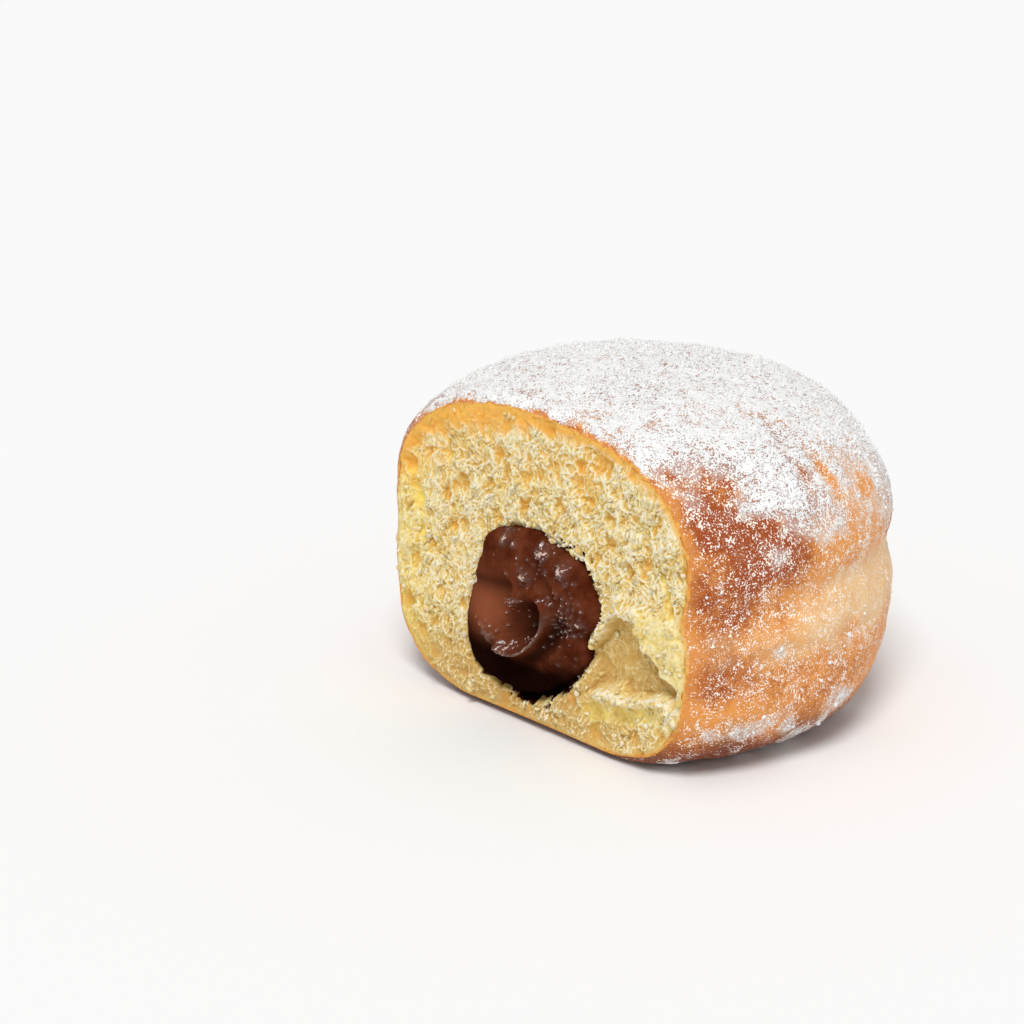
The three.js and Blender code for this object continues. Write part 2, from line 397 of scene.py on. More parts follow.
def scattered_grains(name, base, weights, count, size, draw, faces, uneven=0.3):
    """Many uneven grains lying on a mesh, each a rough ball of 8 or 20 triangles, as one mesh."""
    bpy.ops.object.select_all(action="DESELECT")
    if faces == 20:
        bpy.ops.mesh.primitive_ico_sphere_add(subdivisions=1, radius=1)
    else:
        bpy.ops.mesh.primitive_cone_add(vertices=4, radius1=1, depth=1, end_fill_type="NOTHING")
        bpy.ops.object.mode_set(mode="EDIT")
        bpy.ops.mesh.select_all(action="SELECT")
        bpy.ops.mesh.symmetrize(direction="POSITIVE_Z", threshold=0.01)
        bpy.ops.object.mode_set(mode="OBJECT")
    pattern = bpy.context.object
    ball = points_of(pattern)
    pattern.data.calc_loop_triangles()
    corners = np.array([t.vertices[:] for t in pattern.data.loop_triangles])
    bpy.data.objects.remove(pattern)
    where, facing = spots_on(base, weights, count, draw)
    scale = size * 0.5 * draw.lognormal(0, 0.35, count).clip(0.5, 2.0)
    shape = ball[None] * draw.uniform(1 - uneven, 1 + uneven, (count, len(ball), 1))
    shape = shape * draw.uniform(1 - uneven, 1 + uneven, (count, 1, 3)) * scale[:, None, None]
    axes = turned_to(facing, draw)
    turned = sum(shape[:, :, i : i + 1] * axis[:, None] for i, axis in enumerate(axes))
    turned = turned + (where + facing * (0.25 * scale)[:, None])[:, None]
    turned[:, :, 2] = np.maximum(turned[:, :, 2], 0)
    all_faces = corners[None] + len(ball) * np.arange(count)[:, None, None]
    return joined_mesh(name, turned.reshape(-1, 3), all_faces.reshape(-1, 3))


# The doughnut's form


CORE = (0, 0, 27 * mm)  # the middle of the dough
FACE_MIDDLE = 26  # height in mm of the middle of the cut
FACE_RADIUS = 34  # its usual radius in mm
CROWN_SHAPE = (2.4, 2.6)  # how square the crown is, across and up, where 2 is an ellipse
FOOT_SHAPE = (4.6, 4.8)  # the same for the foot
WAIST = 27.5  # height in mm of the pinched waist
WAIST_FOLD = 22.5  # height in mm of the fold under it
WRINKLES = ((25.2, 0.22), (19.6, 0.2), (29.3, 0.16))  # height and depth in mm of finer creases
CRUST_ROUND = 39  # radius in mm for lengths round the crust
SUGAR_ROUND = 38  # the same for the sugar, which lies higher
PER_DEGREE = 0.66  # mm round the crust for each degree of bearing
SWELLINGS = (
    # bearing in degrees, height, push and spread in mm
    (50, 44, -1.6, 9),
    (60, 52, 0.6, 12),
    (47, 36, 0.8, 9),
    (47, 22, 1.0, 11),
    (-18, 43, -1.1, 6),
    (-22, 49.5, 0.8, 8),
    (-8, 16, -0.6, 5),
    (205, 45, -0.8, 12),
    (100, 20, 0.9, 16),
    (150, 40, 0.8, 14),
    (20, 12, 0.7, 14),
)


def dough_outline(sizes):
    """Radius and height along the dough's outline, from the crown down to the base's middle."""
    angle = np.linspace(math.pi / 2, 0, 400) ** 2 / (math.pi / 2)
    crown_r = sizes.radius * np.abs(np.cos(angle)) ** (2 / CROWN_SHAPE[0])
    crown_z = sizes.widest + sizes.crown * np.sin(angle) ** (2 / CROWN_SHAPE[1])
    foot = sizes.widest + sizes.pressed
    last = math.asin((sizes.widest / foot) ** (FOOT_SHAPE[1] / 2))
    angle = np.linspace(0, 1, 400) ** 2 * last
    foot_r = sizes.radius * np.cos(angle) ** (2 / FOOT_SHAPE[0])
    foot_z = sizes.widest - foot * np.sin(angle) ** (2 / FOOT_SHAPE[1])
    radius = np.concatenate([crown_r, foot_r[1:], [0]])
    height = np.concatenate([crown_z, foot_z[1:], [0]])
    return radius, np.maximum(height, 0)


def dough_form(directions, sizes):
    """Carries points of a unit ball onto the dough, evenly along its outline."""
    radius, height = dough_outline(sizes)
    along = np.concatenate([[0], np.cumsum(np.hypot(np.diff(radius), np.diff(height)))])
    share = np.arccos(np.clip(directions[:, 2], -1, 1)) / math.pi
    reach = np.interp(share, [0, 0.88, 1], [0, along[-2], along[-1]])
    r, z = np.interp(reach, along, radius), np.interp(reach, along, height)
    turn = np.arctan2(directions[:, 1], directions[:, 0])
    base = z < 1e-7
    waist = WAIST * mm + 1.2 * mm * np.sin(3 * turn + 0.6)
    towards = 0.5 + 0.5 * np.cos(turn - math.radians(42))
    r = np.maximum(0, r - (0.3 + 0.9 * towards) * mm * bell(z - waist, 2.8 * mm) * (r > 0))
    points = np.stack([r * np.cos(turn), r * np.sin(turn), z], 1)
    for bearing, high, push, spread in SWELLINGS:
        at = np.interp(-high * mm, -height, radius)
        way = math.radians(bearing)
        middle = np.array([at * math.cos(way), at * math.sin(way), high * mm])
        outward = points - CORE
        outward /= np.linalg.norm(outward, axis=1, keepdims=True)
        amount = push * mm * bell(np.linalg.norm(points - middle, axis=1), spread * mm)
        points = points + outward * amount[:, None]
    points[base, 2] = 0
    points[:, 2] = np.maximum(points[:, 2], 0)
    return points


SUGAR_EDGE = (
    # bearing in degrees, and the height in mm down to which the sugar lies
    (-180, 43),
    (-120, 49),
    (-40, 48.5),
    (-20, 44.5),
    (-7, 37),
    (8, 40),
    (25, 37),
    (70, 39),
    (150, 40),
    (180, 43),
)
BARE_PATCHES = (
    # bearing in degrees, height and size in mm of places that the sugar left bare
    (4, 45.5, 5.0),
    (15, 42.0, 4.5),
    (27, 41.0, 5.0),
    (-24, 46.5, 4.0),
)
SUGAR_PATCHES = (
    # the same for places lower down where sugar clings
    (-18, 6.8, 1.6),
    (-6, 7.4, 1.5),
    (-27, 7.6, 1.4),
    (9, 9.6, 1.8),
    (-11, 20.4, 1.5),
)


def patch(bearing, z, middle, high, size, per_degree=PER_DEGREE):
    """1 in the middle of a round patch on the crust, falling off over its size in mm."""
    return bell(np.hypot((bearing - middle) * per_degree, z - high), size)


def sugar_cover(points, cut, seed):
    """The share of the crust that icing sugar hides at points, from 0 to 1."""
    x, y, z = (points / mm).T
    bearing = np.degrees(np.arctan2(y, x))
    edge = np.interp(bearing, *zip(*SUGAR_EDGE))
    around = np.radians(bearing) * SUGAR_ROUND
    streaks = soft_noise(seed, 2.6, around, z / 2.5) + 0.6 * soft_noise(seed + 1, 1.2, around, z / 2)
    lumps = layered_noise(seed + 2, 4.4, 4, x, y, z)
    above = z - edge + 1.9 * streaks * (1 - ease(z, 47, 52)) + 2.8 * lumps
    cover = 0.24 + 0.64 * ease(above, -6, 5.5) + 0.07 * lumps
    for middle, high, size in BARE_PATCHES:
        near = patch(bearing, z, middle, high, size, per_degree=0.62)
        cover -= near * np.clip(0.34 + 0.34 * streaks + 0.2 * lumps, 0, 0.7)
    cover -= 0.08 * bell(z - 25, 5)
    cover += (0.4 * lumps - 0.07) * (1 - ease(z, 5, 15))
    for middle, high, size in SUGAR_PATCHES:
        cover += 0.3 * patch(bearing, z, middle, high, size)
    behind = y + cut / mm + 0.5 * lumps
    high = ease(z, 40, 47)
    bare = high * ease(behind, 0.1, 0.9) + (1 - high) * ease(behind, 0.2, 1.9)
    return np.clip(cover, 0.02, 0.92) * bare * (z > 0.4)


# The pocket and its cream


POCKET_SHAPE = 2.6  # how square the pocket's back is, where 2 is an ellipse
POCKET_SLANT = math.radians(48)
CUTTER_REACH = 12 * mm  # how far the pocket's cutter stands out of the cut


def pocket_radius(turn, sizes):
    """Radius of the pocket behind the cut, towards a bearing."""
    return sizes.radius + sizes.oval * np.cos(2 * (turn - POCKET_SLANT))


CREAM_BULGES = (
    # bearing in degrees about the pocket's middle, push in mm and spread in degrees
    (-142, 1.5, 16),
    (-100, -0.5, 20),
    (-62, -0.6, 18),
    (-2, -2.0, 8),
    (14, 0.9, 7),
    (43, 0.6, 7),
    (70, -2.0, 14),
    (128, 1.8, 18),
    (175, -0.7, 12),
)


def hole_radius(turn, sizes):
    """Radius of the hole in the crumb at the cut, towards a bearing."""
    radius = pocket_radius(turn, sizes)
    for bearing, push, spread in CREAM_BULGES:
        apart = (np.degrees(turn) - bearing + 180) % 360 - 180
        radius = radius + push * mm * bell(apart, spread)
    return radius


def face_radius(turn, reach, sizes):
    """Radius of the cream's face, which sags away from the hole low down and has a ragged edge."""
    along = turn * sizes.radius / mm
    ragged = 0.2 * soft_noise(14, 1.6, along) + 0.12 * soft_noise(15, 0.7, along)
    sagged = hole_radius(turn, sizes) - sizes.sag * bell(np.degrees(turn) + 80, 55)
    return sagged + ragged * mm * ease(reach, 0.85, 1.0)


CURL_MIDDLE = (-0.2, 18.2)  # x and z in mm of the piped curl's middle
CURL_HALF = (7.0, 3.8)  # half its length and half its width in mm
CURL_SLANT = math.radians(45)
CREAM_LUMPS = (
    # x and z of the middle, rise and spread, all in mm
    (-0.7, 21.7, 1.9, 1.7),
    (0.4, 26.0, 1.2, 1.1),
    (2.8, 30.2, 1.0, 1.1),
    (7.9, 28.9, 1.0, 1.1),
    (-5.0, 30.8, 0.9, 1.0),
    (-2.8, 30.4, 0.5, 0.6),
    (11.6, 21.0, 0.7, 0.8),
    (-5.0, 28.0, 0.8, 4.0),
    (-8.2, 16.6, 0.9, 3.6),
    (9.6, 25.6, 0.5, 4.6),
)
CREAM_FOLDS = (
    # both ends, depth and width, in mm
    ((-13, 21.6), (-3.8, 23.2), 1.1, 1.3),
    ((2.0, 28.0), (5.8, 24.2), 0.5, 0.9),
    ((5.5, 18.0), (12.0, 19.4), 0.4, 1.0),
)
BUBBLE_PATCHES = (
    # x and z of the middle, and the spread across and up, in mm
    (8.4, 22.5, 1.9, 3.4),
    (8.4, 22.5, 1.9, 3.4),
    (-8.4, 14.6, 1.0, 1.0),
    (-3.4, 13.2, 1.4, 0.5),
    (1.6, 15.4, 1.2, 0.9),
    (0.5, 24.0, 5.0, 4.0),
    (2.8, 30.2, 0.8, 0.6),
    (7.9, 28.9, 0.7, 0.6),
    (-5.4, 32.4, 1.0, 0.4),
    (-0.7, 21.4, 1.0, 0.8),
)


def curl(x, z):
    """The piped curl and the folds round it: relief in mm, depth of painted shade, and gloss."""
    u, v = x - CURL_MIDDLE[0], z - CURL_MIDDLE[1]
    along = (u * math.cos(CURL_SLANT) + v * math.sin(CURL_SLANT)) / CURL_HALF[0]
    across = (-u * math.sin(CURL_SLANT) + v * math.cos(CURL_SLANT)) / CURL_HALF[1]
    ring = np.hypot(along, across)
    turn = np.degrees(np.arctan2(across, along))
    turn = np.where(turn > 100, turn - 360, turn)
    crescent = ease(turn, -205, -170) * (1 - ease(turn, 35, 75))
    foot = ease(turn, -200, -160) * (1 - ease(turn, -60, -10))
    lip = bell(ring - 1.02, 0.15) * crescent
    under = ease(ring, 1.08, 1.3) * (1 - ease(ring, 1.4, 2.1)) * foot
    deep = 0.3 + 0.7 * ease(u - 0.3 * v, -5, 3.5)
    hollow = deep * (1 - ease(ring, 0.35, 0.97))
    relief = 1.7 * lip - 3.4 * hollow - 0.9 * under
    # painted shade in the hollow and under the lip
    shade = 0.9 * hollow * deep + 0.75 * under
    gloss = 0.8 * lip * foot
    for cx, cz, rise, spread in CREAM_LUMPS:
        near = bell(np.hypot(x - cx, z - cz), spread)
        relief = relief + rise * near
        gloss = np.maximum(gloss, near * (spread < 1.6))
    for start, end, depth, width in CREAM_FOLDS:
        fold = depth * bell(to_segment(x, z, start, end), width)
        relief = relief - fold
        # painted shade along the folds
        shade = np.maximum(shade, 0.4 * fold)
    return relief, shade, gloss


def cream_body(name, sizes, cut, growth, fine):
    """The cream as a closed form: a ball drawn out to the pocket, its face shaped if fine."""
    bpy.ops.object.select_all(action="DESELECT")
    bpy.ops.mesh.primitive_uv_sphere_add(
        segments=320 if fine else 96, ring_count=220 if fine else 48, radius=1
    )
    body = bpy.context.object
    body.name = name
    ball = points_of(body)
    share = np.arccos(np.clip(ball[:, 2], -1, 1)) / math.pi
    turn = np.arctan2(ball[:, 1], ball[:, 0])
    front = share < 0.5
    angle = np.clip((share - 0.5) * math.pi, 0, math.pi / 2)
    reach = np.where(front, 2 * share, np.abs(np.cos(angle)) ** (2 / POCKET_SHAPE))
    back = (sizes.depth + growth) * np.sin(angle) ** (2 / POCKET_SHAPE)
    radius = pocket_radius(turn, sizes) + growth
    if fine:
        fade = np.where(front, 1, 1 - ease(back, 0.6 * mm, 3.5 * mm))
        radius = radius + (face_radius(turn, reach, sizes) - radius) * fade
    x = -sizes.across + reach * radius * np.cos(turn)
    z = sizes.height + reach * radius * np.sin(turn)
    y = np.where(front, 0, back)
    if fine:
        dome = (1 - np.minimum(reach, 1) ** 2.4) ** 0.6
        relief = curl(x / mm, z / mm)[0] * mm * ease(reach, 1.0, 0.86)
        low = 1.2 * mm * ease(z, 14 * mm, 7 * mm)
        y = y - np.where(front, (sizes.bulge - low) * dome + relief, 0)
    else:
        y = y - np.where(front, CUTTER_REACH * (1 - reach**8) ** 0.125, 0)
    place_points(body, np.stack([x, y - cut, z], 1))
    alone(body)
    bpy.ops.object.mode_set(mode="EDIT")
    close_edit()
    return body


# Materials


def add_node(tree, kind, values=None, **settings):
    """A node with its settings, its values set and its inputs joined to other sockets."""
    node = tree.nodes.new(kind)
    for key, value in settings.items():
        setattr(node, key, value)
    for socket, value in (values or {}).items():
        if isinstance(value, bpy.types.NodeSocket):
            tree.links.new(value, node.inputs[socket])
        else:
            node.inputs[socket].default_value = value
    return node


def new_finish(name, **sockets):
    """A material, its node tree and its Principled shader with constant sockets set."""
    material = bpy.data.materials.new(name)
    material.use_nodes = True
    tree = material.node_tree
    shader = tree.nodes["Principled BSDF"]
    for socket, value in sockets.items():
        shader.inputs[socket.replace("_", " ")].default_value = value
    return material, tree, shader


def rgba(values):
    """A colour with full opacity."""
    return (*values, 1.0)


def blend(tree, share, first, second):
    """The colour between two others, each a socket or a plain colour."""
    ends = [c if isinstance(c, bpy.types.NodeSocket) else rgba(c) for c in (first, second)]
    node = add_node(tree, "ShaderNodeMix", {0: share, 6: ends[0], 7: ends[1]}, data_type="RGBA")
    return node.outputs[2]


def sum_of(tree, operation, first, second):
    """A sum, product or other join of two values."""
    node = add_node(tree, "ShaderNodeMath", {0: first, 1: second}, operation=operation)
    return node.outputs[0]


def plus(tree, value, other, share):
    """A value with a share of another added to it."""
    return sum_of(tree, "ADD", value, sum_of(tree, "MULTIPLY", other, share))


def step_between(tree, value, low, high):
    """0 on low's side of the stretch from low to high, 1 on high's side, smooth between."""
    node = add_node(
        tree,
        "ShaderNodeMapRange",
        {"Value": value, "From Min": low, "From Max": high},
        interpolation_type="SMOOTHSTEP",
    )
    return node.outputs["Result"]


def speckle_group():
    """Mottling shared by the surfaces: soft blotches with finer specks in them, from 0 to 1."""
    group = bpy.data.node_groups.new("Speckle", "ShaderNodeTree")
    group.interface.new_socket("Scale", in_out="INPUT", socket_type="NodeSocketFloat")
    group.interface.new_socket("Detail", in_out="INPUT", socket_type="NodeSocketFloat")
    group.interface.new_socket("Value", in_out="OUTPUT", socket_type="NodeSocketFloat")
    inside = add_node(group, "NodeGroupInput")
    place = add_node(group, "ShaderNodeTexCoord")
    noise = add_node(
        group,
        "ShaderNodeTexNoise",
        {
            "Vector": place.outputs["Object"],
            "Scale": inside.outputs["Scale"],
            "Detail": inside.outputs["Detail"],
            "Roughness": 0.6,
        },
    )
    outside = add_node(group, "NodeGroupOutput")
    group.links.new(noise.outputs["Fac"], outside.inputs["Value"])
    return group


def speckle(tree, scale, detail):
    """The shared mottling, at its own scale, in bumps per metre."""
    group = bpy.data.node_groups.get("Speckle") or speckle_group()
    node = add_node(tree, "ShaderNodeGroup", node_tree=group)
    node.inputs["Scale"].default_value = scale
    node.inputs["Detail"].default_value = detail
    return node.outputs["Value"]


def marked(tree, name):
    """A number stored at the mesh's points."""
    return add_node(tree, "ShaderNodeAttribute", attribute_name=name).outputs["Fac"]


def bump(tree, height, strength, distance):
    """A normal from a height."""
    node = add_node(
        tree, "ShaderNodeBump", {"Height": height, "Strength": strength, "Distance": distance}
    )
    return node.outputs["Normal"]


def feed(tree, shader, **sockets):
    """Joins what changes over the surface to the shader."""
    for socket, value in sockets.items():
        tree.links.new(value, shader.inputs[socket.replace("_", " ")])


def fried_skin(tree, colours, mottle, fine):
    """The crust's colour: browned, with a pale ring, a cut edge, and a foot darkened by browning and
    painted shade.
    """
    blotches = speckle(tree, 240, 4)
    browning = plus(tree, marked(tree, "brown"), blotches, 0.7)
    browning = plus(tree, plus(tree, browning, mottle, 0.8), fine, -0.9)
    skin = blend(tree, step_between(tree, browning, 0.35, 1.2), colours.golden, colours.brown)
    paling = plus(tree, marked(tree, "pale"), blotches, 0.9)
    skin = blend(tree, step_between(tree, paling, 0.45, 1.5), skin, colours.pale)
    skin = blend(tree, marked(tree, "edge"), skin, colours.rim)
    return blend(tree, marked(tree, "foot"), skin, colours.foot_brown_and_shade)


def crust_finish(colours):
    """Fried crust, browned above and below a pale ring, under a dusting of icing sugar."""
    material, tree, shader = new_finish("fried crust", Specular_IOR_Level=0.12)
    mottle = speckle(tree, 1100, 4)
    fine = speckle(tree, 3600, 2)
    skin = fried_skin(tree, colours, mottle, fine)
    sugar = marked(tree, "sugar")
    thick = step_between(tree, sugar, 0.25, 0.7)
    powder = blend(tree, thick, colours.thin_sugar, colours.sugar)
    haze = sum_of(tree, "MULTIPLY", thick, plus(tree, 1.0, thick, -0.85))
    frost = step_between(tree, speckle(tree, 5600, 2), 0.5, 0.85)
    skin = blend(tree, plus(tree, haze, frost, 0.18), skin, powder)
    specks = add_node(tree, "ShaderNodeMapRange", {"Value": fine, "From Min": 0.3, "From Max": 0.7})
    patches = sum_of(tree, "MULTIPLY", speckle(tree, 900, 3), 1.7)
    cover = sum_of(tree, "ADD", sugar, specks.outputs["Result"])
    cover = sum_of(tree, "ADD", cover, plus(tree, patches, speckle(tree, 320, 2), 0.6))
    white = step_between(tree, cover, 2.08, 2.24)
    layer = sum_of(tree, "MULTIPLY", sum_of(tree, "MULTIPLY", white, thick), patches)
    feed(
        tree,
        shader,
        Base_Color=blend(tree, white, skin, powder),
        Roughness=plus(tree, 0.48, white, 0.35),
        Normal=bump(tree, plus(tree, layer, mottle, 0.8), 0.8, 0.2 * mm),
    )
    return material


def rim_finish(colours):
    """The crust's edge where it was cut, paler where the ring was."""
    material, tree, shader = new_finish("cut crust", Roughness=0.6, Specular_IOR_Level=0.05)
    tone = step_between(tree, speckle(tree, 900, 4), 0.3, 0.7)
    base = blend(tree, tone, colours.rim, colours.crumb_edge)
    base = blend(tree, marked(tree, "pale"), base, colours.crumb)
    feed(tree, shader, Base_Color=base, Normal=bump(tree, speckle(tree, 2400, 3), 0.8, 0.2 * mm))
    return material


def crumb_finish(name, colours, soft):
    """Airy crumb in lit and shaded copies of its colour: painted highlight on the torn edges, painted
    shade in the pores, creases, torn hollow and low down, painted glow where light comes through, orange
    by the crust, and stained by cream with painted shade in the gap under it.
    """
    material, tree, shader = new_finish(
        name,
        Roughness=0.7,
        Specular_IOR_Level=0.0,
        Subsurface_Weight=soft,
        Subsurface_Radius=(1.0, 0.8, 0.6),
        Subsurface_Scale=0.6 * mm,
    )
    mottle = speckle(tree, 420, 4)
    fine = speckle(tree, 2200, 3)
    # the relief mark picks painted shade for low and creased places and a painted highlight for high ones
    relief = plus(tree, plus(tree, marked(tree, "relief"), mottle, 0.3), fine, 0.9)
    base = blend(tree, step_between(tree, relief, 0.65, 1.2), colours.crumb_shaded, colours.crumb)
    base = blend(tree, step_between(tree, relief, 1.02, 1.4), base, colours.crumb_lit)
    # painted shade low down and in the torn hollow, away from high places
    low_shade = sum_of(tree, "MULTIPLY", marked(tree, "low_shade"), step_between(tree, relief, 1.5, 0.8))
    base = blend(tree, low_shade, base, colours.crumb_low_shade)
    # painted glow where light comes through the crumb
    base = blend(tree, marked(tree, "painted_glow"), base, colours.crumb_glow)
    near = plus(tree, plus(tree, marked(tree, "near_crust"), mottle, 0.3), fine, 0.2)
    base = blend(tree, step_between(tree, near, 0.3, 1.35), base, colours.crumb_edge)
    # real cream stain near the hole, going near-black as painted shade in the gap under the cream and in
    # the sunken pits
    soak_and_shade = plus(tree, marked(tree, "stain_and_shade"), mottle, 0.5)
    base = blend(tree, step_between(tree, soak_and_shade, 0.5, 0.75), base, colours.cream)
    base = blend(tree, step_between(tree, soak_and_shade, 0.75, 1.05), base, colours.stain_and_shade)
    feed(tree, shader, Base_Color=base, Normal=bump(tree, fine, 0.6, 0.25 * mm))
    return material


def cream_finish(colours):
    """Chocolate cream: painted shade where it lies deep, low down and behind the cut, painted light on
    its left lobe, glossy on its lip, lumps and bubbles, with painted glints on them.
    """
    material, tree, shader = new_finish(
        "chocolate cream", Roughness=0.5, Specular_IOR_Level=0.0, Coat_Roughness=0.18, Coat_IOR=1.7
    )
    tone = step_between(tree, speckle(tree, 260, 4), 0.3, 0.8)
    # painted light on the left lobe, over the random aerated tone
    tone = sum_of(tree, "MAXIMUM", sum_of(tree, "MULTIPLY", tone, 0.5), marked(tree, "light"))
    base = blend(tree, tone, colours.cream, colours.cream_aerated_and_lit)
    # painted shade where the cream lies deep: its hollow, under the lip, low down and behind the cut
    base = blend(tree, marked(tree, "deep"), base, colours.stain_and_shade)
    gloss = marked(tree, "gloss")
    # painted glints: pale specks where the gloss mark and fine noise are high stand in for highlights
    painted_glints = sum_of(tree, "ADD", gloss, speckle(tree, 2600, 2))
    base = blend(tree, step_between(tree, painted_glints, 1.3, 1.5), base, colours.painted_glint)
    normal = bump(tree, speckle(tree, 1700, 4), 0.6, 0.18 * mm)
    feed(tree, shader, Base_Color=base, Coat_Weight=gloss, Normal=normal)
    return material


def sugar_finish(colours):
    """Icing sugar."""
    material, tree, shader = new_finish("icing sugar", Roughness=0.8, Specular_IOR_Level=0.05)
    tone = step_between(tree, speckle(tree, 900, 2), 0.3, 0.7)
    shade = tuple(c * 0.9 for c in colours.sugar)
    feed(tree, shader, Base_Color=blend(tree, tone, shade, colours.sugar))
    return material


# Operators


class DOUGHNUT_OT_crust(bpy.types.Operator):
    """Model the crust: the dough's whole form, roughened, cut open and recessed for the crumb"""

    bl_idname = "doughnut.crust"
    bl_label = "Crust"

    def execute(self, context):
        scene = context.scene
        sizes, cream = scene.doughnut_dough, scene.doughnut_cream
        bpy.ops.object.select_all(action="DESELECT")
        bpy.ops.mesh.primitive_uv_sphere_add(segments=360, ring_count=200, radius=1)
        crust = context.object
        crust.name = "crust"
        place_points(crust, dough_form(points_of(crust), sizes))
        apply_modifier(crust, "REMESH", mode="VOXEL", voxel_size=sizes.grain)
        apply_modifier(crust, "SMOOTH", factor=0.5, iterations=3)
        self.roughen(crust, sizes)
        self.cut_open(crust, sizes)
        cutter = cream_body("pocket", cream, sizes.cut, 0.3 * mm, False)
        apply_modifier(crust, "BOOLEAN", operation="DIFFERENCE", solver="MANIFOLD", object=cutter)
        bpy.data.objects.remove(cutter)
        self.mark_surface(crust, sizes)
        finish_piece(crust, "dough", "dough")
        return {"FINISHED"}

    def roughen(self, crust, sizes):
        """Fine unevenness, the waist's wrinkles, the sugar's thickness and the turned-in edge."""
        points, normals = points_of(crust), normals_of(crust)
        x, y, z = (points / mm).T
        turn = np.degrees(np.arctan2(y, x))
        around = np.radians(turn) * CRUST_ROUND
        rise = 0.16 * layered_noise(sizes.seed, 5.0, 3, x, y, z)
        rise += 0.07 * layered_noise(sizes.seed + 9, 1.6, 2, x, y, z)
        line = WAIST_FOLD + 0.8 * np.sin(np.radians(turn) * 5 + 0.7)
        line += 0.7 * soft_noise(3, 6, around, z * 0)
        fold = bell(z - line, 0.6) - 0.8 * bell(z - line + 1.2, 0.75)
        rise += 0.38 * fold * ease(soft_noise(4, 9, around, z * 0), -0.5, 0.6)
        for level, depth in WRINKLES:
            wander = level + 0.9 * soft_noise(int(level), 5, around, z * 0)
            along = ease(soft_noise(int(level) + 1, 7, around, z * 0), -0.1, 0.6)
            rise -= depth * bell(z - wander, 0.55) * along
        lumps = 0.5 + 0.5 * layered_noise(sizes.seed + 20, 1.5, 3, x, y, z)
        sugar = sugar_cover(points, sizes.cut, sizes.seed)
        rise += ease(sugar, 0.5, 0.95) * (0.08 + 0.34 * lumps)
        rise *= ease(z, 0.2, 2.5)
        points += normals * (rise * mm)[:, None]
        drawn = sizes.turned * ease(-points[:, 1], sizes.cut - 2.4 * mm, sizes.cut) ** 2
        way = (points - (0, 0, FACE_MIDDLE * mm)) * (1, 0, 1)
        points -= way / np.maximum(np.linalg.norm(way, axis=1, keepdims=True), mm) * drawn[:, None]
        points[:, 2] = np.maximum(points[:, 2], 0)
        place_points(crust, points)

    def cut_open(self, crust, sizes):
        """Slices the front off, rounds the rim over and sinks a recess behind it."""
        rings = ((-0.3 * mm, 0.995), (-0.05 * mm, 0.985))
        inner = (1 - sizes.rim / (FACE_RADIUS * mm)) / math.prod(share for _, share in rings)
        middle = (0, -sizes.cut, FACE_MIDDLE * mm)
        alone(crust)
        bpy.ops.object.mode_set(mode="EDIT")
        bpy.ops.mesh.select_all(action="SELECT")
        bpy.ops.mesh.bisect(
            plane_co=(0, -sizes.cut + 0.35 * mm, 0), plane_no=(0, -1, 0), clear_outer=True
        )
        for step, share in (*rings, (0.12 * mm, inner)):
            bpy.ops.mesh.extrude_edges_move(TRANSFORM_OT_translate={"value": (0, step, 0)})
            bpy.ops.transform.resize(value=(share, 1, share), center_override=middle)
        bpy.ops.mesh.extrude_edges_move(TRANSFORM_OT_translate={"value": (0, sizes.recess, 0)})
        bpy.ops.object.vertex_group_assign_new()
        bpy.ops.mesh.fill()
        close_edit()
        group = crust.vertex_groups[0].index
        loop = [v.co[:] for v in crust.data.vertices if any(g.group == group for g in v.groups)]
        crust["recess"] = [c for point in loop for c in point]
        crust.vertex_groups.clear()

    def mark_surface(self, crust, sizes):
        """Where the crust is browned, pale or sugared, where painted shade darkens it low down, and which
        faces are the cut rim.
        """
        colours = bpy.context.scene.doughnut_colours
        points = points_of(crust)
        x, y, z = (points / mm).T
        turn = np.degrees(np.arctan2(y, x))
        around = np.radians(turn) * CRUST_ROUND
        beside_cut = bell(turn + 28, 26)
        wander = 3.0 * layered_noise(sizes.seed + 30, 7, 3, around, z)
        pale = ease(z + wander, 15, 22) * (1 - ease(z + wander + 3 * beside_cut, 26, 34))
        mark(crust, "pale", pale * (0.85 - 0.5 * beside_cut))
        blotch = layered_noise(sizes.seed + 40, 9, 4, x, y, z)
        # the term low down is painted shade under the dough, over real browning
        brown = 0.3 + 0.32 * ease(z, 27, 35) + 0.6 * (1 - ease(z, 2, 9)) + 0.34 * blotch
        brown += 0.3 * patch(turn, z, -24, 37, 9)
        brown -= 0.7 * patch(turn, z, 18, 36, 10)
        mark(crust, "brown", brown)
        behind = y + sizes.cut / mm + 0.9 * layered_noise(sizes.seed + 50, 4, 3, x, y, z)
        mark(crust, "edge", 0.7 * (1 - ease(behind, 0.0, 1.8 - 0.9 * ease(z, 40, 48))))
        # painted shade: the foot is darkened towards the floor, over real browning
        foot = 1 - ease(z + 2 * blotch + 0.6 * wander, 2, 10)
        mark(crust, "foot", 0.8 * foot * (1 - 0.6 * ease(turn, 10, 60)))
        mark(crust, "sugar", sugar_cover(points, sizes.cut, sizes.seed))
        crust.data.materials.clear()
        crust.data.materials.append(crust_finish(colours))
        crust.data.materials.append(rim_finish(colours))
        behind = rows_of(crust.data.polygons, "center")[:, 1] + sizes.cut
        front = rows_of(crust.data.polygons, "normal")[:, 1] < -0.99
        index = ((behind < 0.2 * mm) | (front & (behind < 4 * mm))).astype(np.int32)
        crust.data.polygons.foreach_set("material_index", index)


